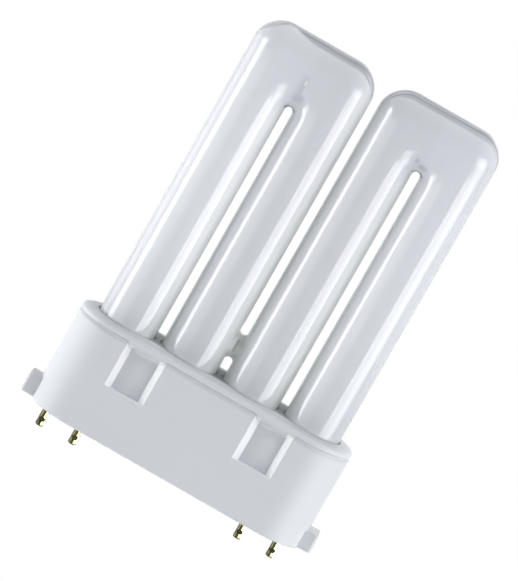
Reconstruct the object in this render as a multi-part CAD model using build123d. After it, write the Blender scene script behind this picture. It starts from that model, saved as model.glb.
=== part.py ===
from build123d import *

import os

# Flat compact fluorescent lamp with a four-pin plug-in cap, in millimetres.
# Four glass legs stand in one row on a moulded cap.
# +Z runs up the legs, X along the row, and the front faces -Y.
# The origin is the middle of the cap's underside, the plane that seats on the lamp holder.

# Glass discharge tube
TUBE_DIAMETER = 16.0  # outside of each leg
LEG_GAP = 2.2  # clear space between neighbouring legs
LAMP_HEIGHT = 118.0  # cap's underside to the top of the right bend
LEFT_BEND_DROP = 0.35  # how much lower the left bend stands
LEFT_BEND_EXTRA = 3.15  # how much taller than the tube's diameter the left bend is, over its gap
RIGHT_BEND_EXTRA = 1.8  # the same on the right bend, which was blown a little lower
BEND_TOP_FLAT = 0.5  # width of the flat left along the top of a bend
BEND_FRONT_LAND = 0.5  # flat front left between a bend's saddle and its rounded top
BRIDGE_RISE = 8.8  # middle of the cross-tube between the inner legs, above the lid
BRIDGE_DIAMETER = 6.8
BRIDGE_ROOT_RADIUS = 1.0  # fused fillet where the cross-tube meets a leg
BRIDGE_ROOT_SHARE = 0.46  # most of the leg gap that one such fillet may take
LEG_INSERTION = 14.0  # how deep the closed end of a leg lies below the lid's top
LEG_END_FLAT = 6.0  # flat left in the middle of a closed end
PINCH_WIDTH = 12.0
PINCH_THICKNESS = 3.6
PINCH_LENGTH = 4.4  # pinch seal below the closed end of an outer leg
PINCH_CORNER = 1.0
EXHAUST_TIP_DIAMETER = 4.0
EXHAUST_TIP_LENGTH = 4.0

# Cap, both mouldings
CAP_HEIGHT = 28.9
LID_THICKNESS = 1.8
LID_SLOPE_WIDTH = 2.2  # margin of the lid's top that falls away to its edge
LID_SLOPE_DROP = 0.7
LID_EDGE_RADIUS = 0.8
LID_EDGE_LAND = 0.2  # least straight side left under the lid's rounded edge
HOUSING_WALL = 2.0
HOUSING_EDGE_RADIUS = 1.0  # round on the housing's upper edge, which shades the joint under the lid
HOUSING_FOOT_RADIUS = 0.5
FLOOR_THICKNESS = 2.2
SOCKET_SIDE_WALL = 0.9  # socket block beside the sockets
SOCKET_END_WALL = 1.8  # socket block at its two ends
SOCKET_CLEARANCE = 0.1  # socket block in the housing

# Clip recesses, two on the front and two on the back
RECESS_SPACING = 37.6
RECESS_WIDTH = 11.4  # at the housing's face
RECESS_FLOOR_WIDTH = 7.9  # at the socket block behind it
RECESS_HEIGHT = 13.1  # below the housing's upper edge
RECESS_COVER = 1.5  # socket block that reaches below the recess
RAMP_HEIGHT = 2.9  # curve that carries the lid's edge down to the recess floor
RAMP_SIDE_CLEARANCE = 0.1

# End lugs
LUG_LENGTH = 3.0
LUG_WIDTH = 8.0
LUG_HEIGHT = 5.1
LUG_LIFT = 0.5
LUG_EDGE_RADIUS = 0.6

# Contact pins and their wires
PIN_DIAMETER = 2.3
PIN_WALL = 0.55
PIN_LENGTH = 6.2  # below the cap's underside
PIN_TIP_RADIUS = 0.4
PIN_TIP_THICKNESS = 0.9
PIN_END_SPACE = 3.5  # from the inside of the housing's end to the middle of the outer pin
PIN_PAIR_PITCH = 9.7
PIN_SHANK_STEP = 0.35  # thicker shank inside the floor
PIN_HOLE_CLEARANCE = 0.05
PIN_FLANGE_STEP = 0.7
PIN_FLANGE_THICKNESS = 0.8
PIN_COLLAR_LENGTH = 1.2
CRIMP_RISE = 2.0  # middle of the crimp above the pin's tip
CRIMP_DEPTH = 0.3
CRIMP_RADIUS = 0.8
LEAD_DIAMETER = 0.5
LEAD_SPREAD = 5.0  # between the two wires where they leave a pinch seal
LEAD_STRAIGHT_SHARE = 0.25  # straight run at each end of the drop from the seal to the pin's collar
LEAD_BEND_RADIUS = 0.8
LEAD_END_RISE = 1.4  # end of the wire above the pin's tip

# Cement that holds the legs
CEMENT_GAP = 0.5
CEMENT_RECESS = 0.3  # top of the cement below the lid's top

# Sizes that follow from those
tube_radius = TUBE_DIAMETER / 2
leg_pitch = TUBE_DIAMETER + LEG_GAP
leg_middles = [leg_pitch * step for step in (-1.5, -0.5, 0.5, 1.5)]
bend_top_round = (TUBE_DIAMETER - BEND_TOP_FLAT) / 2
bridge_z = CAP_HEIGHT + BRIDGE_RISE
leg_end_round = (TUBE_DIAMETER - LEG_END_FLAT) / 2
leg_end_z = CAP_HEIGHT - LEG_INSERTION
leg_straight_z = leg_end_z + leg_end_round
pinch_end_z = leg_end_z - PINCH_LENGTH

socket_radius = tube_radius + CEMENT_GAP
block_depth = 2 * (socket_radius + SOCKET_SIDE_WALL)
block_length = 3 * leg_pitch + 2 * (socket_radius + SOCKET_END_WALL)
cavity_depth = block_depth + 2 * SOCKET_CLEARANCE
cavity_length = block_length + 2 * SOCKET_CLEARANCE
cap_depth = cavity_depth + 2 * HOUSING_WALL
cap_length = cavity_length + 2 * HOUSING_WALL
housing_top_z = CAP_HEIGHT - LID_THICKNESS
recess_bottom_z = housing_top_z - RECESS_HEIGHT
block_bottom_z = recess_bottom_z - RECESS_COVER
recess_middles = [-RECESS_SPACING / 2, RECESS_SPACING / 2]

pin_radius = PIN_DIAMETER / 2
pin_shank_radius = pin_radius + PIN_SHANK_STEP
pin_top_z = FLOOR_THICKNESS + PIN_FLANGE_THICKNESS + PIN_COLLAR_LENGTH
outer_pin_x = cavity_length / 2 - PIN_END_SPACE
inner_pin_x = outer_pin_x - PIN_PAIR_PITCH
pin_middles = [-outer_pin_x, -inner_pin_x, inner_pin_x, outer_pin_x]
lead_starts = [
    leg + place * LEAD_SPREAD / 2 for leg in (leg_middles[0], leg_middles[-1]) for place in (-1, 1)
]

SEAM_TOLERANCE = 0.001
UPWARDS = (Align.CENTER, Align.CENTER, Align.MIN)


def upper_edges(solid):
    """Edges round the highest flat face."""
    return solid.faces().sort_by(Axis.Z)[-1].edges()


def lower_edges(solid):
    """Edges round the lowest flat face."""
    return solid.faces().sort_by(Axis.Z)[0].edges()


def post(radius, bottom_z, top_z, x=0):
    """Upright cylinder between two heights."""
    return Pos(x, 0, bottom_z) * Cylinder(radius, top_z - bottom_z, align=UPWARDS)


def slot_prism(length, depth, bottom_z, top_z):
    """Upright prism with two straight sides and two half-round ends."""
    return extrude(Pos(0, 0, bottom_z) * SlotOverall(length, depth), top_z - bottom_z)


def leg(x, top_z):
    """Round leg with a rounded, closed end inside the cap."""
    flat_edge = (LEG_END_FLAT / 2, leg_end_z)
    wall_start = (tube_radius, leg_straight_z)
    corner = TangentArc(flat_edge, wall_start, tangent=(1, 0))
    wall = Polyline(wall_start, (tube_radius, top_z), (0, top_z), (0, leg_end_z), flat_edge)
    return Pos(x, 0, 0) * revolve(Plane.YZ * make_face([corner, wall]), Axis.Z)


def saddle(stretch):
    """Inner side of a bend, about the origin: half a tube, turned between the legs and drawn out upwards."""
    inner_side = Pos(-tube_radius, 0) * Rectangle(TUBE_DIAMETER, TUBE_DIAMETER)
    half_tube = Pos(leg_pitch / 2, 0) * (Circle(tube_radius) & inner_side)
    turned = revolve(half_tube, Axis((0, 0, 0), (0, -1, 0)), 180)
    return scale(turned, by=(1, 1, stretch))


def ends_at_crest(face, crest_z):
    """Whether a face is the wall between a bend's two sides, whose middle is the saddle's crest."""
    return abs(face.center().Z - crest_z) < SEAM_TOLERANCE


def bend(bottom_z, crest_z, top_z):
    """Square-shouldered bend over two legs, about x = 0.

    Its outer side is a slot-shaped prism with a rounded top edge, so its front is flat. Its inner side is
    the saddle. The two meet at the saddle's crest, where they share their tangent, so their outer faces
    are sewn and the wall between them is left out.
    """
    crest = Plane.XZ * Ellipse(leg_pitch / 2, crest_z - bottom_z)
    outside = slot_prism(leg_pitch + TUBE_DIAMETER, TUBE_DIAMETER, bottom_z, top_z)
    outside = fillet(upper_edges(outside), bend_top_round)
    outside -= Pos(0, 0, bottom_z) * extrude(crest, TUBE_DIAMETER, both=True)
    inside = Pos(0, 0, bottom_z) * saddle((crest_z - bottom_z) / (leg_pitch / 2))
    skin = [face for face in outside.faces() + inside.faces() if not ends_at_crest(face, crest_z)]
    return Solid(Shell(skin))


def leg_pair(middle_x, top_z, bend_extra):
    """Two legs and the bend that joins them."""
    crest_z = top_z - bend_top_round - BEND_FRONT_LAND
    gap_end_z = top_z - TUBE_DIAMETER - bend_extra
    bend_z = gap_end_z - (crest_z - gap_end_z) * (LEG_GAP / 2) / tube_radius
    legs = leg(-leg_pitch / 2, bend_z) + leg(leg_pitch / 2, bend_z)
    return Pos(middle_x, 0, 0) * (legs + bend(bend_z, crest_z, top_z))


def pinch_seal(x):
    """Flattened seal under an outer leg, where two lead wires leave the glass."""
    height = leg_straight_z - pinch_end_z
    seal = Pos(x, 0, pinch_end_z) * Box(PINCH_WIDTH, PINCH_THICKNESS, height, align=UPWARDS)
    return fillet(seal.edges().filter_by(Axis.Z), PINCH_CORNER)


def exhaust_tip(x):
    """Sealed stub under an inner leg, through which the tube was pumped out."""
    radius = EXHAUST_TIP_DIAMETER / 2
    stub_end_z = leg_end_z - EXHAUST_TIP_LENGTH + radius
    return post(radius, stub_end_z, leg_straight_z, x) + Pos(x, 0, stub_end_z) * Sphere(radius)


def bridge():
    """Cross-tube between the axes of the two inner legs."""
    rod = Rot(0, 90, 0) * Cylinder(BRIDGE_DIAMETER / 2, leg_pitch)
    return Pos(0, 0, bridge_z) * rod


def discharge_tube():
    """Sealed glass vessel, blown and fused in one."""
    left_pair = leg_pair(-leg_pitch, LAMP_HEIGHT - LEFT_BEND_DROP, LEFT_BEND_EXTRA)
    right_pair = leg_pair(leg_pitch, LAMP_HEIGHT, RIGHT_BEND_EXTRA)
    glass = left_pair + right_pair + bridge()
    near_bridge = (bridge_z - BRIDGE_DIAMETER, bridge_z + BRIDGE_DIAMETER)
    bridge_roots = glass.edges().filter_by(GeomType.BSPLINE).filter_by_position(Axis.Z, *near_bridge)
    glass = fillet(bridge_roots, min(BRIDGE_ROOT_RADIUS, BRIDGE_ROOT_SHARE * LEG_GAP))
    for x in (leg_middles[0], leg_middles[-1]):
        glass += pinch_seal(x)
    return glass + exhaust_tip(leg_middles[1])


def recess_outline(clearance):
    """Section of a front recess with slanted sides, narrowed by a clearance at each side."""
    slant = (RECESS_WIDTH - RECESS_FLOOR_WIDTH) / 2 / HOUSING_WALL
    inner_y = -cavity_depth / 2 + HOUSING_WALL / 2
    outer_y = -cap_depth / 2 - HOUSING_WALL / 2
    inner_half = RECESS_FLOOR_WIDTH / 2 - slant * HOUSING_WALL / 2 - clearance
    outer_half = RECESS_WIDTH / 2 + slant * HOUSING_WALL / 2 - clearance
    inner_corners = [(-inner_half, inner_y), (inner_half, inner_y)]
    outer_corners = [(outer_half, outer_y), (-outer_half, outer_y)]
    return make_face(Polyline(*inner_corners, *outer_corners, close=True))


def recess_prism(x, clearance=0):
    """Space of a front recess, from its lower edge to the top of the housing."""
    return Pos(x, 0, recess_bottom_z) * extrude(recess_outline(clearance), RECESS_HEIGHT)


def recess_ramp(x):
    """Curve at the top of a front recess: the lid's edge runs down and back to the recess floor."""
    lid_edge = (-cap_depth / 2, housing_top_z)
    floor_start = (-block_depth / 2, housing_top_z - RAMP_HEIGHT)
    halfway = ((lid_edge[0] + floor_start[0]) / 2, (lid_edge[1] + floor_start[1]) / 2)
    inside_y = floor_start[0] + SOCKET_SIDE_WALL / 2
    upper = TangentArc(lid_edge, halfway, tangent=(0, -1))
    lower = TangentArc(halfway, floor_start, tangent=upper % 1)
    back = Polyline(floor_start, (inside_y, floor_start[1]), (inside_y, housing_top_z), lid_edge)
    curve = extrude(Plane.YZ * make_face([upper, lower, back]), RECESS_WIDTH, both=True)
    return Pos(x, 0, 0) * curve & recess_prism(x, RAMP_SIDE_CLEARANCE)


def lid():
    """Plate that closes the cap, with a sloping margin and a rounded edge."""
    plate = slot_prism(cap_length, cap_depth, housing_top_z, CAP_HEIGHT)
    top = plate.faces().sort_by(Axis.Z)[-1]
    plate = chamfer(top.edges(), LID_SLOPE_WIDTH, LID_SLOPE_DROP, reference=top)
    side_height = LID_THICKNESS - LID_SLOPE_DROP
    edge_z = housing_top_z + side_height
    outer_edges = plate.edges().filter_by_position(Axis.Z, edge_z - SEAM_TOLERANCE, edge_z + SEAM_TOLERANCE)
    return fillet(outer_edges, min(LID_EDGE_RADIUS, side_height - LID_EDGE_LAND))


def cap_cover():
    """Lid and socket block, moulded in one."""
    cover = lid() + slot_prism(block_length, block_depth, block_bottom_z, housing_top_z)
    for x in recess_middles:
        front_ramp = recess_ramp(x)
        cover = cover + front_ramp + mirror(front_ramp, about=Plane.XZ)
    for x in leg_middles:
        cover -= post(socket_radius, block_bottom_z, CAP_HEIGHT, x)
    return cover


def end_lug():
    """Lug on the right end of the housing, keyed into its end wall."""
    root_x = cap_length / 2 - HOUSING_WALL / 2
    length = LUG_LENGTH + HOUSING_WALL / 2
    block = Box(length, LUG_WIDTH, LUG_HEIGHT, align=(Align.MIN, Align.CENTER, Align.MIN))
    lug = Pos(root_x, 0, LUG_LIFT) * block
    return fillet(lug.faces().sort_by(Axis.X)[-1].edges(), LUG_EDGE_RADIUS)


def cap_housing():
    """Tub under the cover, with the clip recesses, the end lugs and the pin holes."""
    body = slot_prism(cap_length, cap_depth, 0, housing_top_z)
    body = fillet(upper_edges(body), min(HOUSING_EDGE_RADIUS, HOUSING_WALL / 2))
    body = fillet(lower_edges(body), HOUSING_FOOT_RADIUS)
    right_lug = end_lug()
    body = body + right_lug + mirror(right_lug, about=Plane.YZ)
    body -= slot_prism(cavity_length, cavity_depth, FLOOR_THICKNESS, housing_top_z)
    for x in recess_middles:
        recess = recess_prism(x)
        body = body - recess - mirror(recess, about=Plane.XZ)
    for x in pin_middles:
        body -= post(pin_shank_radius + PIN_HOLE_CLEARANCE, 0, FLOOR_THICKNESS, x)
    return body


def contact_pin():
    """Hollow pin about x = 0, seated by its flange on the housing's floor and crimped on its wire."""
    flange_top_z = FLOOR_THICKNESS + PIN_FLANGE_THICKNESS
    tip = fillet(lower_edges(post(pin_radius, -PIN_LENGTH, 0)), PIN_TIP_RADIUS)
    pin = tip + post(pin_shank_radius, 0, pin_top_z)
    pin += post(pin_shank_radius + PIN_FLANGE_STEP, FLOOR_THICKNESS, flange_top_z)
    pin -= post(pin_radius - PIN_WALL, PIN_TIP_THICKNESS - PIN_LENGTH, pin_top_z)
    die = Rot(0, 90, 0) * Cylinder(CRIMP_RADIUS, PIN_DIAMETER)
    die_y = pin_radius + CRIMP_RADIUS - CRIMP_DEPTH
    for side in (-1, 1):
        pin -= Pos(0, side * die_y, CRIMP_RISE - PIN_LENGTH) * die
    return pin


def lead_wire(start_x, pin_x):
    """Wire from a pinch seal down into its pin."""
    straight = LEAD_STRAIGHT_SHARE * (pinch_end_z - pin_top_z)
    route = FilletPolyline(
        (start_x, 0, pinch_end_z),
        (start_x, 0, pinch_end_z - straight),
        (pin_x, 0, pin_top_z + straight),
        (pin_x, 0, LEAD_END_RISE - PIN_LENGTH),
        radius=LEAD_BEND_RADIUS,
    )
    return sweep(Plane(route @ 0, z_dir=route % 0) * Circle(LEAD_DIAMETER / 2), route)


def tube_cement(x):
    """Ring of cement between a leg and its socket."""
    ring = Circle(socket_radius) - Circle(tube_radius)
    return extrude(Pos(x, 0, leg_straight_z) * ring, CAP_HEIGHT - CEMENT_RECESS - leg_straight_z)


os.makedirs("parts", exist_ok=True)
export_step(discharge_tube(), "parts/discharge_tube.step")
export_step(cap_cover(), "parts/cap_cover.step")
export_step(cap_housing(), "parts/cap_housing.step")
for number, pin_x in enumerate(pin_middles, start=1):
    export_step(Pos(pin_x, 0, 0) * contact_pin(), f"parts/contact_pin_{number}.step")
    export_step(lead_wire(lead_starts[number - 1], pin_x), f"parts/lead_wire_{number}.step")
for number, leg_x in enumerate(leg_middles, start=1):
    export_step(tube_cement(leg_x), f"parts/tube_cement_{number}.step")
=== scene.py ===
from math import cos, pi, radians, sin, tan

import bpy
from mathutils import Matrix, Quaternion, Vector


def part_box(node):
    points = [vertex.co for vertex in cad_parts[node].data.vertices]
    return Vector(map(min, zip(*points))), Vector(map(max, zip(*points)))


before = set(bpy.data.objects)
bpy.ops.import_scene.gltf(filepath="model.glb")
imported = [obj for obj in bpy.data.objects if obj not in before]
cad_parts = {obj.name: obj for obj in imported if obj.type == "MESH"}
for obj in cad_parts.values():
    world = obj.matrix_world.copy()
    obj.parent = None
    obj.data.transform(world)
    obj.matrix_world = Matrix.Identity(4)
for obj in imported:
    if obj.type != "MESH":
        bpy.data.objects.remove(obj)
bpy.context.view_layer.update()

# Places on the lamp are in mm, studio lengths in metres, and angles in degrees
# A pair is a soft edge, where a finish begins to change and where it ends, unless a comment says otherwise
# A coat is how strongly it covers, and its colour in red, green and blue
# Noise scales are in cells for each metre
MM = 0.001

# Photograph's view: a long lens, turned on its side
PHOTO_SIZE = (518, 581)  # pixels
PIXELS_PER_MM = 3.9
VIEW_AZIMUTH = 0.2  # towards +X
VIEW_ELEVATION = 10.56
VIEW_ROLL = 29.7  # lean of the lamp to the right
VIEW_CENTRE = Vector((-2.0, 0, 53.13)) * MM
VIEW_REACH = 10.0  # how far the camera sees, in times its own distance
LENS = 400.0  # mm
SENSOR = 36.0  # mm, along the longer side of the photograph

# Legs of the glass and the gaps between them
PAIR_GAP = 2.2  # width of the gap between the two pairs of legs
LEG_PITCH = 18.2  # from the middle of one gap to the next
GAP_TOP = 99.1  # height of the middle of the right gap's round end
LEFT_GAP_DROP = 1.7  # how much lower the left gap ends
MIDDLE_SIDES = (9.0, 10.0)  # from the legs' sides that face the middle gap to the rest
INNER_LEGS = (17.0, 19.5)  # from the two inner legs to the outer ones
OUTER_SIDES = (26.0, 28.0)  # from what faces a gap to the lamp's outer sides
RIGHT_FLANK = ((-4.6, -3.2), (-0.5, 0.5))  # from the middle of a gap, on the leg to its left
LEFT_FLANK = ((-0.5, 0.5), (2.8, 3.5))  # from the middle of a gap, on the leg to its right
RIGHT_FLANK_TOP = (GAP_TOP - 4.0, GAP_TOP + 1.5)  # where the flanks end under the bends
LEFT_FLANK_TOP = (GAP_TOP - 7.0, GAP_TOP)
FLANK_SHADES = (0.15, 0.8, 0.55)  # how dark the painted shade on the left flanks is at the left, middle and right gap
FLANK_STEPS = ((-4.0, -2.0), (13.0, 15.0))  # from one of those shades to the next
FEET = (26.0, 75.0)  # from the feet of the legs upwards
FOOT_EDGE = 2.4  # height of the painted light on the glass above the lid, which lifts the shade there
HOLLOW_X = (1.6, 4.8)  # from the middle of a gap, the painted shade at the feet
HOLLOW_Z = (32.0, 54.4)  # where that place ends above the seat
HOLLOW_LIGHT = 0.6  # share of that shade that a right flank loses
EDGE_NEAR = (1.0, 1.1)  # from the middle of a gap to its edge, painted dark as shade and dark reflection
EDGE_FAR = (1.1, 1.32)  # from the dark edge to the front of a leg
EDGE_SHADE = 0.65  # how dark that edge is
EDGE_SHADE_RIGHT = 0.3  # and how much darker on a right flank
CRESCENT = 0.7  # how much wider it is at the round end of a gap
CRESCENT_RISE = (0.3, 1.1)  # above the middle of the round end

# Bridge and its fused seam, three lines with a middle and a half width each: a dark line, a painted
# highlight and painted shade
BRIDGE_Z = ((32.0, 33.0), (43.5, 44.5))  # where the bridge closes the middle gap
SEAM_Z = ((36.0, 37.0), (39.5, 40.5))
SEAM_FRONT = (-3.0, -1.0)  # from the front to the back
SEAM_LINE = (-0.1, 0.6)  # dark line
SEAM_GLINT = (-0.9, 0.5)  # painted highlight on its left
SEAM_SHADE = (0.9, 1.6)  # painted soft shade on its right

# Bends at the top of the legs
BEND_CORNER = 7.75  # radius of the outer corners
LEFT_BEND_DROP = 0.35  # how much lower the left bend is than the right one
BAND_WIDTH = 1.45  # band of painted shade and dark reflection along the crest
BAND_WOBBLE = 0.4  # unevenness of its width
BAND_NOISE = 70.0
BAND_EDGE = 0.3  # half the width of its soft edge
BAND_UPWARD = (0.0, 0.15)  # from upright glass to where the band can lie
BAND_CORNER = (-33.0, -28.0)  # from the pale band of the left corner to a narrow one
BAND_LOSS = 0.78  # share of the width that is lost there
BAND_TAPER = (-30.0, -19.0)  # from the narrow band to a whole one along the left bend
BAND_BACK = (1.5, 4.0)  # from the uneven front of the left band to its even back

# Pressed fold and dents on the front of the bends, with painted shade in them
BEND_FRONT = (-4.0, -1.0)  # from the front to the back
FOLD_X = -17.7
FOLD_SLOPES = ((-2.4, 0.0), (0.0, 0.8))  # slow on the left of the fold and sharp on its right
FOLD_Z = ((100.5, 102.5), (107.0, 110.0))
FOLD_DEPTH = 0.16
FOLD_SHADE = 0.75  # how dark the painted shade in the fold is, as a share of that in a dent
# Dents, and a painted highlight by the fold, with a middle and a half size each
DENTS = (
    ((16.6, 103.7), (0.8, 1.2)),
    ((18.9, 102.6), (2.0, 1.0)),
    ((-17.7, 102.4), (2.2, 2.0)),
)
DENT_DEPTH = 0.05
FOLD_GLINT = ((-17.65, 107.0), (0.35, 1.05))

# Finish of the glass
POWDER = ((0.75, 0.775, 0.855), (0.785, 0.81, 0.885))  # the two tones of its streaks
POWDER_STRETCH = (1.0, 1.0, 0.06)
POWDER_NOISE = 120.0
# painted shade that darkens the two inner legs
INNER_LEGS_SHADE_COAT = (1.0, (0.735, 0.76, 0.835))
# darker glass towards the feet
FEET_COAT = (1.0, (0.715, 0.745, 0.815))
FOOT_EDGE_LIGHT_COAT = (0.8, (0.88, 0.90, 0.95))
# painted light on the right flanks beside the gaps
RIGHT_FLANK_LIGHT_COAT = (0.75, (0.92, 0.935, 0.945))
# painted shade on the left flanks
LEFT_FLANK_SHADE_COAT = (1.0, (0.62, 0.655, 0.665))
# painted shade between the legs at their feet
HOLLOW_SHADE_COAT = (0.4, (0.66, 0.73, 0.69))
# painted shade and dark reflection along the edges of the legs at the gaps
GAP_EDGE_SHADE_COAT = (1.0, (0.28, 0.30, 0.295))
SEAM_SHADE_COAT = (0.6, (0.40, 0.47, 0.43))
SEAM_LINE_COAT = (1.0, (0.16, 0.185, 0.18))
# painted shade in the fold and the dents
DENT_SHADE_COAT = (0.75, (0.45, 0.46, 0.545))
WHITE = (1.0, 1.0, 1.0)
# painted highlight
HIGHLIGHT_COAT = (1.0, WHITE)
GLASS_ROUGHNESS = 0.06
EDGE_ROUGHNESS = 0.8  # how much duller the dark edge of a right flank is
GLASS_IOR = 1.75
WAVE_STRETCH = (1.0, 1.0, 0.3)
WAVE_NOISE = 160.0
WAVE_DEPTH = 0.05
GLOW = 0.3  # share of the light that goes through the powder
GLOW_COLOUR = (0.975, 0.98, 0.955)

# Painted shade and dark reflection on the crest of the bends
CREST = ((0.29, 0.32, 0.365), (0.47, 0.49, 0.55))  # the two tones of its painted stripes of reflection
ROUNDED_CREST = ((0.36, 0.36, 0.42), (0.74, 0.73, 0.80))  # and where it turns down, lighter as painted light
CREST_TURN = (0.75, 1.0)  # from the turn to the flat top
STRIPE_STRETCH = (0.05, 3.0)  # cells for each mm along the crest and across it
STRIPE_CONTRAST = (0.4, 0.6)  # noise from the dark stripes to the pale ones
CREST_DEPTH = (0.4, 1.3)  # from the top of the crest to the painted light under it
CREST_DEPTH_COAT = (0.7, (0.56, 0.58, 0.63))
# more painted shade on the left bend's crest
LEFT_CREST_COAT = (0.3, (0.20, 0.22, 0.25))
# painted light on the crest's left corner
CORNER_CREST_COAT = (1.0, (0.60, 0.59, 0.65))

# Cap, with heights measured from the joint under the lid
LID_EDGE = 1.8  # height of the lid's edge
LID_ROUND = (1.0, LID_EDGE)  # from the lid's edge to its top
LID_SHADE_Z = ((-1.6, -0.8), (-0.7, -0.35))  # soft shade under the lid's edge
JOINT_LIGHT_Z = ((-0.55, -0.35), (-0.1, 0.0))  # painted light along the joint, lifting its shade
RECESS_X = 18.8  # from the lamp's middle to the middle of a clip recess
RECESS_SIDE = (5.5, 5.8)  # from a recess to the face beside it
RECESS_LOW = (13.7, 14.0)  # lower end of a recess, above the seat
RAMP_Z = ((-1.9, -1.4), (-1.4, 0.5))  # curve from a recess's floor to the lid's edge
RECESS_FLOOR_HIGH = (-2.3, -1.7)  # from a recess's floor to that curve
RECESS_FLOOR_LIGHT_X = (-3.0, 0.5)  # from the shaded left of the floor to its light right
RECESS_FLOOR_LIGHT_Z = (-5.4, -2.9)  # and up to its light top
RECESS_WALL_X = 4.8  # from a recess's middle to the middle of its slanted walls
RECESS_WALL_HALF = (0.75, 1.0)  # half the width of a wall
RECESS_WALL_HIGH = (-0.2, 0.8)  # upper end of the walls
RECESS_WALL_FACE = (11.25, 11.5)  # from a wall to the cap's face
RECESS_WALL_SIDES = (-1.0, 1.0)  # from the left wall to the right one
LID_GAP_SHADE_X = (1.5, 4.5)  # from the middle of a gap, the painted shade on the lid between the legs
LID_GAP_SHADE_Y = ((-7.5, -4.5), (6.0, 8.5))  # from front to back
LID_GAP_SHADE_Z = (-0.2, 1.0)  # from the joint to the lid's top
LID_GAP_SHADE_DARKNESS = 0.7  # how dark it is
LID_GAP_SHADE_MIDDLE = 0.2  # and how much darker at the middle gap
LUG_X = (39.6, 39.8)  # from the cap to its end lugs
LUG_TOP_Y = (-3.95, -3.7)  # from a lug's front to its top

# Finish of the cap
PLASTIC = ((0.735, 0.765, 0.81), (0.755, 0.78, 0.82))  # the two tones of its clouds
CLOUD_NOISE = 90.0
GRAIN_NOISE = 5200.0
GRAIN_STRENGTH = 0.08
GRAIN_DEPTH = 0.2
PLASTIC_ROUGHNESS = 0.5
LID_GAP_SHADE_ROUGHNESS = 0.4  # how much duller the lid is under that painted shade
PLASTIC_IOR = 1.38
# painted shade on the lid's top
LID_TOP_SHADE_COAT = (0.7, (0.55, 0.565, 0.585))
LID_SHADE_COAT = (0.6, (0.57, 0.585, 0.625))
JOINT_LIGHT_COAT = (1.0, (0.90, 0.92, 0.95))
# painted shade on the curve at the top of a recess
RAMP_SHADE_COAT = (1.0, (0.645, 0.67, 0.705))
# painted light on the upper and right part of a recess's floor
RECESS_FLOOR_LIGHT_COAT = (0.6, (0.84, 0.87, 0.92))
# painted shade on the lid between the legs
LID_GAP_SHADE_COAT = (1.0, (0.24, 0.285, 0.275))
RECESS_WALL_LIGHTS = ((0.85, 0.865, 0.895), (0.96, 0.99, 1.0))  # painted light on the left wall and the brighter right one
# painted shade on the lugs' tops
LUG_TOP_SHADE_COAT = (1.0, (0.60, 0.615, 0.62))

# Finish of the pins
BRASS = ((0.07, 0.066, 0.038), (0.03, 0.028, 0.017))  # clean and tarnished
TARNISH = (0.4, 0.7)  # noise from clean to tarnished
TARNISH_NOISE = 900.0
TARNISH_DETAIL = 4.0
BRASS_ROUGHNESS = 0.1
TARNISH_ROUGHNESS = 0.12  # how much duller the tarnish is

# Finish of the lead wires
WIRE = ((0.55, 0.55, 0.54), (0.68, 0.68, 0.66))  # the two tones of its streaks
WIRE_STRETCH = (1.0, 1.0, 0.05)
WIRE_NOISE = 3000.0
WIRE_ROUGHNESS = 0.25
STREAK_ROUGHNESS = 0.15  # how much duller the drawn streaks are

# Finish of the cement
CEMENT = ((0.22, 0.24, 0.23), (0.34, 0.36, 0.34))  # the two tones of its grain
CEMENT_NOISE = 1500.0
CEMENT_DETAIL = 5.0
CEMENT_STRENGTH = 0.5
CEMENT_DEPTH = 0.2
CEMENT_ROUGHNESS = 0.9

# Studio
FLOOR_DROP = 0.25  # floor below the cap, which a lamp holder carries
FLOOR_RADIUS = 0.6
FLOOR_SIDES = 96
FLOOR_FADE = 0.4  # share of the radius where it begins to clear
FLOOR_COLOUR = (0.9, 0.9, 0.9)
AMBIENT = 0.02  # strength of the even light from all round
GLINT_DISTANCE = 0.68
MIRRORED = -VIEW_ELEVATION  # elevation that upright glass mirrors to the camera
SOFTBOX = {"elevation": -13.0, "height": 0.66}
STRIP = {"elevation": MIRRORED, "height": 0.16}
FILL = {"distance": 1.2, "width": 0.9, "height": 0.9, "mirrored": False}


class Signal:
    """A number that a node puts out, so that shader maths is written as arithmetic."""

    def __init__(self, graph, socket):
        self.graph = graph
        self.socket = socket

    def combined(self, operation, first, second):
        """The result of a Math node on two numbers."""
        return self.graph.number("ShaderNodeMath", {"operation": operation}, {0: first, 1: second})

    def __add__(self, other):
        return self.combined("ADD", self, other)

    __radd__ = __add__

    def __sub__(self, other):
        return self.combined("SUBTRACT", self, other)

    def __rsub__(self, other):
        return self.combined("SUBTRACT", other, self)

    def __mul__(self, other):
        return self.combined("MULTIPLY", self, other)

    __rmul__ = __mul__

    def __truediv__(self, other):
        return self.combined("DIVIDE", self, other)

    def __pow__(self, other):
        return self.combined("POWER", self, other)

    def __abs__(self):
        return self.graph.number("ShaderNodeMath", {"operation": "ABSOLUTE"}, {0: self})

    def at_least(self, other):
        return self.combined("MAXIMUM", self, other)

    def at_most(self, other):
        return self.combined("MINIMUM", self, other)

    def wrapped(self, pitch):
        """Distance from the nearest multiple of pitch, below 0 on its left."""
        ends = {1: pitch / 2, 2: -pitch / 2}
        return self.graph.number("ShaderNodeMath", {"operation": "WRAP"}, {0: self, **ends})

    def rising(self, start, end):
        """0 below start, 1 above end and a smooth step between them."""
        return self.graph.number(
            "ShaderNodeMapRange",
            {"interpolation_type": "SMOOTHSTEP"},
            {"Value": self, "From Min": start, "From Max": end},
        )

    def falling(self, start, end):
        """1 below start, 0 above end and a smooth step between them."""
        return 1.0 - self.rising(start, end)

    def between(self, lower_edge, upper_edge):
        """1 between two soft edges and 0 outside them."""
        return self.rising(*lower_edge) * self.falling(*upper_edge)


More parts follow.
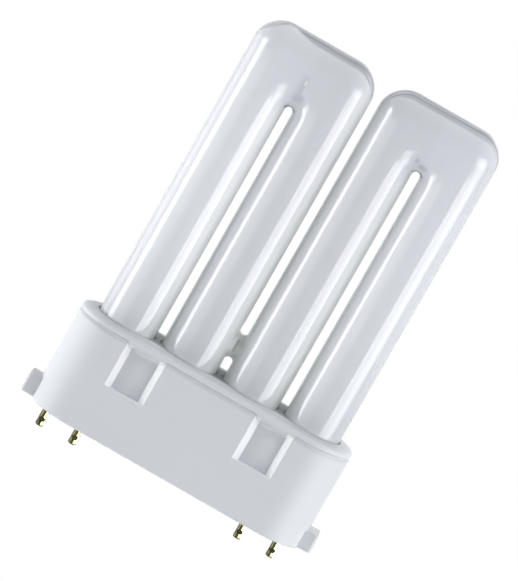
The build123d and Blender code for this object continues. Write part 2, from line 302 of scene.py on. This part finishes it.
class Graph:
    """The nodes of one material or world."""

    def __init__(self, tree):
        self.tree = tree
        self.tree.nodes.clear()

    def add(self, kind, settings, sockets):
        """A node of that type: its settings first, then the values or links of its sockets."""
        node = self.tree.nodes.new(kind)
        for name, value in settings.items():
            setattr(node, name, value)
        for name, value in sockets.items():
            socket = node.inputs[name]
            if isinstance(value, Signal):
                value = value.socket
            if isinstance(value, bpy.types.NodeSocket):
                self.tree.links.new(value, socket)
            elif socket.type == "RGBA":
                socket.default_value = (*value, 1.0)
            else:
                socket.default_value = value
        return node

    def number(self, kind, settings, sockets):
        """The first output of a new node, to reckon with."""
        return Signal(self, self.add(kind, settings, sockets).outputs[0])

    def place(self):
        """The surface's own coordinates."""
        return self.add("ShaderNodeTexCoord", {}, {}).outputs["Object"]

    def millimetres(self):
        """The surface's own coordinates, as three numbers."""
        return self.along(self.stretched(self.place(), (1 / MM, 1 / MM, 1 / MM)))

    def along(self, vector):
        """The three parts of a vector."""
        parts = self.add("ShaderNodeSeparateXYZ", {}, {"Vector": vector})
        return [Signal(self, parts.outputs[axis]) for axis in "XYZ"]

    def stretched(self, vector, scale):
        """A vector with each part scaled by its own factor."""
        return self.add("ShaderNodeMapping", {}, {"Vector": vector, "Scale": scale}).outputs["Vector"]

    def vector(self, x, y, z):
        """A vector of three parts."""
        return self.add("ShaderNodeCombineXYZ", {}, {"X": x, "Y": y, "Z": z}).outputs["Vector"]

    def noise(self, vector, scale, detail=2.0):
        """Cloudy noise, mostly near 0.5."""
        sockets = {"Vector": vector, "Scale": scale, "Detail": detail}
        return self.number("ShaderNodeTexNoise", {}, sockets)

    def blended(self, share, first, second):
        """One colour that turns into another as share goes from 0 to 1."""
        first_socket, second_socket, result = (6, 7, 2)  # of a Mix node, for colours
        sockets = {"Factor": share, first_socket: first, second_socket: second}
        return self.add("ShaderNodeMix", {"data_type": "RGBA"}, sockets).outputs[result]

    def painted(self, colour, *layers):
        """A colour with layers over it, each given by where it lies and its coat."""
        for where, (strength, tone) in layers:
            colour = self.blended(strength * where, colour, tone)
        return colour

    def relief(self, height, strength, depth):
        """A bumped normal from a height; depth is the mm that a height of 1 stands for."""
        sockets = {"Height": height, "Strength": strength, "Distance": depth * MM}
        return self.add("ShaderNodeBump", {}, sockets).outputs["Normal"]

    def mixed(self, share, first, second):
        """One shader that turns into another as share goes from 0 to 1."""
        sockets = {"Fac": share, 1: first.outputs["BSDF"], 2: second.outputs["BSDF"]}
        return self.add("ShaderNodeMixShader", {}, sockets).outputs["Shader"]

    def output(self, shader):
        """Makes a shader the finished surface."""
        self.add("ShaderNodeOutputMaterial", {}, {"Surface": shader})

    def surface(self, sockets):
        """A finished surface of one shader."""
        self.output(self.add("ShaderNodeBsdfPrincipled", {}, sockets).outputs["BSDF"])


def new_material(name):
    """An empty material and its nodes."""
    material = bpy.data.materials.new(name)
    material.use_nodes = True
    return material, Graph(material.node_tree)


def lid_top():
    """Height of the top of the cap's lid."""
    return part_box("cap_cover")[1][2] / MM


def left_pair(x):
    """1 on the left pair of legs and 0 on the right one."""
    return x.falling(-PAIR_GAP / 2, PAIR_GAP / 2)


def facing_middle(x):
    """1 on the sides of the legs that face the middle gap."""
    return abs(x).falling(*MIDDLE_SIDES)


def bend_outline(x, z):
    """Depth under a bend's outline, and how squarely it faces up: 1 on top and 0 at the sides."""
    tube_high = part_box("discharge_tube")[1] / MM
    half_width = (tube_high[0] - PAIR_GAP / 2) / 2
    middle = PAIR_GAP / 2 + half_width
    corner_z = tube_high[2] - BEND_CORNER - LEFT_BEND_DROP * left_pair(x)
    side = (abs(abs(x) - middle) - (half_width - BEND_CORNER)).at_least(0.0)
    rise = (z - corner_z).at_least(0.0)
    reach = (side * side + rise * rise) ** 0.5
    return BEND_CORNER - reach, rise / reach


def crest_band(x, y, depth, upward, wobble):
    """1 on the crest of a bend, where painted shade and dark reflection cover the powder, and 0 below it.
    """
    narrowed = 1.0 - BAND_LOSS * x.rising(*BAND_CORNER)
    share = x.rising(*BAND_TAPER).at_least(narrowed).at_least(y.rising(*BAND_BACK))
    width = BAND_WIDTH * share * upward + BAND_WOBBLE * (wobble - 0.5)
    return upward.rising(*BAND_UPWARD) * (width - depth).rising(-BAND_EDGE, BAND_EDGE)


def above_gap(x, z):
    """Height above the middle of the round end of a gap, and 0 below it."""
    return (z - GAP_TOP + LEFT_GAP_DROP * left_pair(x)).at_least(0.0)


def gap_distance(x, z):
    """Distance from the middle of the nearest gap between the legs."""
    side = abs(abs(x) - LEG_PITCH)
    beyond = above_gap(x, z)
    return abs(x).at_most((side * side + beyond * beyond) ** 0.5)


def gap_edge(x, z, gap):
    """1 on the sides of the legs that face each other, where dark shade and reflection are painted."""
    middle = facing_middle(x)
    bridge = middle * z.between(*BRIDGE_Z)
    crescent = CRESCENT * (1.0 - middle) * above_gap(x, z).rising(*CRESCENT_RISE)
    return gap.rising(*EDGE_NEAR) * (gap - crescent).falling(*EDGE_FAR) * (1.0 - bridge)


def leg_flanks(x, z):
    """1 on the right sides of the legs that face a gap, and 1 on the left ones."""
    middle = facing_middle(x)
    facing = abs(x).falling(*OUTER_SIDES)
    across = x.wrapped(LEG_PITCH)
    right = facing * across.between(*RIGHT_FLANK) * middle.at_least(z.falling(*RIGHT_FLANK_TOP))
    left = facing * across.between(*LEFT_FLANK) * middle.at_least(z.falling(*LEFT_FLANK_TOP))
    return right, left


def flank_shade(x):
    """How dark the painted shade on the left flanks is, from the left gap to the right one."""
    left, middle, right = FLANK_SHADES
    to_middle, to_right = FLANK_STEPS
    return left + (middle - left) * x.rising(*to_middle) + (right - middle) * x.rising(*to_right)


def seam_line(x, y, z, middle, half_width):
    """1 along a line on the front of the bridge."""
    return abs(x - middle).falling(0.0, half_width) * z.between(*SEAM_Z) * y.falling(*SEAM_FRONT)


def crease(x, y, z):
    """1 along the fold on the front of the left bend."""
    return (x - FOLD_X).between(*FOLD_SLOPES) * z.between(*FOLD_Z) * y.falling(*BEND_FRONT)


def dent(x, y, z, centre, half_size):
    """1 in the middle of a small pressed mark on the front, falling to 0 at its edge."""
    across = (x - centre[0]) / half_size[0]
    along = (z - centre[1]) / half_size[1]
    return (across * across + along * along).falling(0.0, 1.0) * y.falling(*BEND_FRONT)


def crest_colour(graph, x, y, depth, upward):
    """Painted shade and dark reflection on the crest, with painted stripes of reflection along it, paler
    at the left corner.
    """
    along, across = STRIPE_STRETCH
    stripes = graph.noise(graph.vector(along * x, across * depth, 0.0), 1.0).rising(*STRIPE_CONTRAST)
    flat = graph.painted(
        graph.blended(stripes, *CREST),
        (x.falling(-PAIR_GAP, PAIR_GAP), LEFT_CREST_COAT),
        (depth.rising(*CREST_DEPTH), CREST_DEPTH_COAT),
    )
    crest = graph.blended(upward.falling(*CREST_TURN), flat, graph.blended(stripes, *ROUNDED_CREST))
    left_corner = x.falling(*BAND_CORNER) * y.falling(*BAND_BACK)
    return graph.painted(crest, (left_corner, CORNER_CREST_COAT))


def coated_glass():
    """Clear glass with a white powder coat on its inner wall that lets some light through."""
    material, graph = new_material("coated_glass")
    place = graph.place()
    x, y, z = graph.millimetres()
    foot_z = lid_top()
    right_flank, left_flank = leg_flanks(x, z)
    gap = gap_distance(x, z)
    edge = gap_edge(x, z, gap)
    hollow_shade = gap.falling(*HOLLOW_X) * z.falling(*HOLLOW_Z) * (1.0 - HOLLOW_LIGHT * right_flank)
    fold = crease(x, y, z)
    dent_shade = FOLD_SHADE * fold
    waves = graph.noise(graph.stretched(place, WAVE_STRETCH), WAVE_NOISE)
    height = WAVE_DEPTH * waves - FOLD_DEPTH * fold
    for centre, half_size in DENTS:
        mark = dent(x, y, z, centre, half_size)
        dent_shade = dent_shade.at_least(mark)
        height = height - DENT_DEPTH * mark
    streaks = graph.noise(graph.stretched(place, POWDER_STRETCH), POWDER_NOISE)
    powder = graph.painted(
        graph.blended(streaks, *POWDER),
        (abs(x).falling(*INNER_LEGS), INNER_LEGS_SHADE_COAT),
        (z.falling(*FEET), FEET_COAT),
        (z.falling(foot_z, foot_z + FOOT_EDGE), FOOT_EDGE_LIGHT_COAT),
        (right_flank, RIGHT_FLANK_LIGHT_COAT),
        (flank_shade(x) * left_flank, LEFT_FLANK_SHADE_COAT),
        (hollow_shade, HOLLOW_SHADE_COAT),
        (edge * (EDGE_SHADE + EDGE_SHADE_RIGHT * right_flank), GAP_EDGE_SHADE_COAT),
        (seam_line(x, y, z, *SEAM_SHADE), SEAM_SHADE_COAT),
        (seam_line(x, y, z, *SEAM_LINE), SEAM_LINE_COAT),
        (seam_line(x, y, z, *SEAM_GLINT), HIGHLIGHT_COAT),
        (dent_shade, DENT_SHADE_COAT),
        (dent(x, y, z, *FOLD_GLINT), HIGHLIGHT_COAT),
    )
    depth, upward = bend_outline(x, z)
    band = crest_band(x, y, depth, upward, graph.noise(place, BAND_NOISE))
    gloss = graph.add(
        "ShaderNodeBsdfPrincipled",
        {},
        {
            "Base Color": graph.blended(band, powder, crest_colour(graph, x, y, depth, upward)),
            "Roughness": GLASS_ROUGHNESS + EDGE_ROUGHNESS * edge * right_flank,
            "IOR": GLASS_IOR,
            "Normal": graph.relief(height, strength=1.0, depth=1.0),
        },
    )
    through = graph.add("ShaderNodeBsdfTranslucent", {}, {"Color": GLOW_COLOUR})
    graph.output(graph.mixed(GLOW * (1.0 - band.at_least(edge)), gloss, through))
    return material


def lid_gap_shade(x, y, z, height):
    """How dark the painted shade is on the lid between the legs."""
    where = gap_distance(x, z).falling(*LID_GAP_SHADE_X) * height.rising(*LID_GAP_SHADE_Z) * y.between(*LID_GAP_SHADE_Y)
    return where * (LID_GAP_SHADE_DARKNESS + LID_GAP_SHADE_MIDDLE * facing_middle(x))


def cap_plastic():
    """White satin moulding."""
    material, graph = new_material("cap_plastic")
    place = graph.place()
    x, y, z = graph.millimetres()
    height = z - (lid_top() - LID_EDGE)
    across = (x - RECESS_X).wrapped(2.0 * RECESS_X)
    outside = abs(across).rising(*RECESS_SIDE)
    recess = 1.0 - outside
    above_low = z.rising(*RECESS_LOW)
    floor = above_low * height.falling(*RECESS_FLOOR_HIGH) * recess
    floor_light = across.rising(*RECESS_FLOOR_LIGHT_X).at_least(height.rising(*RECESS_FLOOR_LIGHT_Z))
    wall = abs(abs(across) - RECESS_WALL_X).falling(*RECESS_WALL_HALF) * above_low
    wall = wall * abs(y).falling(*RECESS_WALL_FACE) * height.falling(*RECESS_WALL_HIGH)
    # painted light on the slanted walls of the recesses
    wall_light = graph.blended(across.rising(*RECESS_WALL_SIDES), *RECESS_WALL_LIGHTS)
    gap_shade = lid_gap_shade(x, y, z, height)
    colour = graph.painted(
        graph.blended(graph.noise(place, CLOUD_NOISE), *PLASTIC),
        (height.rising(*LID_ROUND), LID_TOP_SHADE_COAT),
        (height.between(*LID_SHADE_Z) * outside, LID_SHADE_COAT),
        (height.between(*JOINT_LIGHT_Z) * outside, JOINT_LIGHT_COAT),
        (height.between(*RAMP_Z) * recess, RAMP_SHADE_COAT),
        (floor * floor_light, RECESS_FLOOR_LIGHT_COAT),
        (gap_shade, LID_GAP_SHADE_COAT),
        (wall, (1.0, wall_light)),
        (abs(x).rising(*LUG_X) * y.rising(*LUG_TOP_Y), LUG_TOP_SHADE_COAT),
    )
    graph.surface(
        {
            "Base Color": colour,
            "Roughness": PLASTIC_ROUGHNESS + LID_GAP_SHADE_ROUGHNESS * gap_shade,
            "IOR": PLASTIC_IOR,
            "Normal": graph.relief(graph.noise(place, GRAIN_NOISE), GRAIN_STRENGTH, GRAIN_DEPTH),
        }
    )
    return material


def pin_brass():
    """Drawn brass, tarnished to a dark olive."""
    material, graph = new_material("pin_brass")
    tarnish = graph.noise(graph.place(), TARNISH_NOISE, TARNISH_DETAIL)
    colour = graph.blended(tarnish.rising(*TARNISH), *BRASS)
    roughness = BRASS_ROUGHNESS + TARNISH_ROUGHNESS * tarnish
    graph.surface({"Base Color": colour, "Metallic": 1.0, "Roughness": roughness})
    return material


def lead_wire():
    """Drawn nickel-plated wire."""
    material, graph = new_material("lead_wire_metal")
    streak = graph.noise(graph.stretched(graph.place(), WIRE_STRETCH), WIRE_NOISE)
    roughness = WIRE_ROUGHNESS + STREAK_ROUGHNESS * streak
    graph.surface({"Base Color": graph.blended(streak, *WIRE), "Metallic": 1.0, "Roughness": roughness})
    return material


def tube_cement():
    """Cured cement, grainy and matt."""
    material, graph = new_material("cured_cement")
    grain = graph.noise(graph.place(), CEMENT_NOISE, CEMENT_DETAIL)
    graph.surface(
        {
            "Base Color": graph.blended(grain, *CEMENT),
            "Roughness": CEMENT_ROUGHNESS,
            "Normal": graph.relief(grain, CEMENT_STRENGTH, CEMENT_DEPTH),
        }
    )
    return material


def nodes_named(prefix):
    """The CAD nodes whose names start that way."""
    return [node for name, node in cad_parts.items() if name.startswith(prefix)]


def dress(prefix, material):
    """Gives every CAD node of that name its finish."""
    for node in nodes_named(prefix):
        node.data.materials.clear()
        node.data.materials.append(material)


def outwards(azimuth, elevation):
    """Direction from the lamp, turned from the front towards +X and raised."""
    turn = radians(azimuth)
    rise = radians(elevation)
    return Vector((sin(turn) * cos(rise), -cos(turn) * cos(rise), sin(rise)))


def panel_light(
    name, azimuth, elevation, distance, width, height, brightness, mirrored=True, lighting=True
):
    """Flat light that faces the middle of the lamp; brightness is what a mirror would show of it."""
    direction = outwards(azimuth, elevation)
    data = bpy.data.lights.new(name, "AREA")
    data.shape = "RECTANGLE"
    data.size = width
    data.size_y = height
    data.energy = brightness * pi * width * height
    light = bpy.data.objects.new(name, data)
    light.location = VIEW_CENTRE + distance * direction
    light.rotation_euler = direction.to_track_quat("Z", "Y").to_euler()
    light.visible_camera = False
    light.visible_glossy = mirrored
    light.visible_diffuse = lighting
    bpy.context.scene.collection.objects.link(light)
    return light


def glint(name, azimuth, elevation, half_size, brightness):
    """Light that only shows as a highlight; its half width and height are angles seen from the lamp."""
    width, height = (2 * GLINT_DISTANCE * tan(radians(angle)) for angle in half_size)
    return panel_light(
        name, azimuth, elevation, GLINT_DISTANCE, width, height, brightness, lighting=False
    )


def pin_glints():
    """Highlights on the right of the pins only."""
    pins = bpy.data.collections.new("pins_only")
    for node in nodes_named("contact_pin"):
        pins.objects.link(node)
    for name, azimuth in (("pin_glint", 45.0), ("pin_edge_glint", 105.0)):
        light = glint(name, azimuth, elevation=MIRRORED, half_size=(30.0, 7.0), brightness=60.0)
        light.light_linking.receiver_collection = pins


def seen_directly(graph):
    """1 for what the camera sees, straight or in metal and glass, and 0 for light on the lamp."""
    rays = graph.add("ShaderNodeLightPath", {}, {}).outputs
    camera = Signal(graph, rays["Is Camera Ray"])
    return camera.at_least(rays["Is Glossy Ray"]).at_least(rays["Is Transmission Ray"])


def white_world():
    """White to look at, and a weak even light."""
    world = bpy.data.worlds.new("white_studio")
    bpy.context.scene.world = world
    world.use_nodes = True
    graph = Graph(world.node_tree)
    strength = AMBIENT + (1.0 - AMBIENT) * seen_directly(graph)
    backdrop = graph.add("ShaderNodeBackground", {}, {"Color": WHITE, "Strength": strength})
    graph.add("ShaderNodeOutputWorld", {}, {"Surface": backdrop.outputs["Background"]})


def pale_floor():
    """Round pale floor that fades into the white backdrop and is clear from below."""
    bpy.ops.mesh.primitive_circle_add(
        vertices=FLOOR_SIDES, radius=FLOOR_RADIUS, fill_type="NGON", location=(0, 0, -FLOOR_DROP)
    )
    floor = bpy.context.object
    floor.name = "studio_floor"
    material, graph = new_material("pale_floor")
    x, y, _ = graph.along(graph.place())
    reach = (x * x + y * y) ** 0.5
    from_below = graph.add("ShaderNodeNewGeometry", {}, {}).outputs["Backfacing"]
    clear = reach.rising(FLOOR_FADE * FLOOR_RADIUS, FLOOR_RADIUS).at_least(from_below)
    paint = graph.add("ShaderNodeBsdfDiffuse", {}, {"Color": FLOOR_COLOUR})
    see_through = graph.add("ShaderNodeBsdfTransparent", {}, {})
    graph.output(graph.mixed(clear, paint, see_through))
    floor.data.materials.append(material)


def photo_camera():
    """Long lens at the photograph's angle, rolled so that the lamp leans to the right."""
    data = bpy.data.cameras.new("photo_camera")
    data.lens = LENS
    data.sensor_width = SENSOR
    distance = max(PHOTO_SIZE) / PIXELS_PER_MM * MM * LENS / SENSOR
    direction = outwards(VIEW_AZIMUTH, VIEW_ELEVATION)
    camera = bpy.data.objects.new("photo_camera", data)
    camera.location = VIEW_CENTRE + distance * direction
    camera.rotation_mode = "QUATERNION"
    look = (-direction).to_track_quat("-Z", "Y")
    camera.rotation_quaternion = look @ Quaternion((0, 0, 1), radians(VIEW_ROLL))
    data.clip_end = VIEW_REACH * distance
    bpy.context.scene.collection.objects.link(camera)
    bpy.context.scene.camera = camera


bpy.ops.object.select_all(action="DESELECT")
dress("discharge_tube", coated_glass())
dress("cap_", cap_plastic())
dress("contact_pin", pin_brass())
dress("lead_wire", lead_wire())
dress("tube_cement", tube_cement())

white_world()
pale_floor()
panel_light("left_core", azimuth=-75.0, distance=0.69, width=0.245, brightness=5.0, **SOFTBOX)
panel_light("left_softbox", azimuth=-75.0, distance=0.7, width=0.51, brightness=1.0, **SOFTBOX)
panel_light("left_panel", azimuth=-110.0, distance=0.7, width=0.375, brightness=1.7, **SOFTBOX)
panel_light("left_strip", azimuth=-45.0, distance=0.7, width=0.375, brightness=0.6, **STRIP)
panel_light("left_glow", azimuth=-40.0, distance=0.69, width=0.5, brightness=0.9, **STRIP)
panel_light("right_core", azimuth=65.0, distance=0.69, width=0.245, brightness=2.2, **SOFTBOX)
panel_light("right_softbox", azimuth=68.0, distance=0.7, width=0.46, brightness=1.2, **SOFTBOX)
panel_light("right_strip", azimuth=45.0, distance=0.69, width=0.122, brightness=4.1, **STRIP)
glint("right_glint", azimuth=66.0, elevation=MIRRORED, half_size=(19.0, 7.0), brightness=1.0)
glint("right_edge_glint", azimuth=78.0, elevation=MIRRORED, half_size=(7.0, 7.0), brightness=1.4)
glint("left_glint", azimuth=-66.5, elevation=MIRRORED, half_size=(2.5, 7.0), brightness=3.0)
glint("right_low_glint", azimuth=42.0, elevation=-30.0, half_size=(18.0, 9.0), brightness=3.5)
glint("left_low_glint", azimuth=-58.0, elevation=-32.0, half_size=(12.0, 8.0), brightness=3.5)
glint("right_high_glint", azimuth=60.0, elevation=12.0, half_size=(20.0, 14.0), brightness=3.0)
glint("left_high_glint", azimuth=-78.0, elevation=13.0, half_size=(12.0, 10.0), brightness=3.0)
pin_glints()
panel_light("right_fill", azimuth=60.0, elevation=45.0, brightness=3.8, **FILL)
panel_light("left_fill", azimuth=-60.0, elevation=45.0, brightness=0.65, **FILL)
panel_light("back_fill", azimuth=180.0, elevation=50.0, brightness=3.0, **FILL)
photo_camera()
bpy.context.scene.view_settings.view_transform = "Standard"
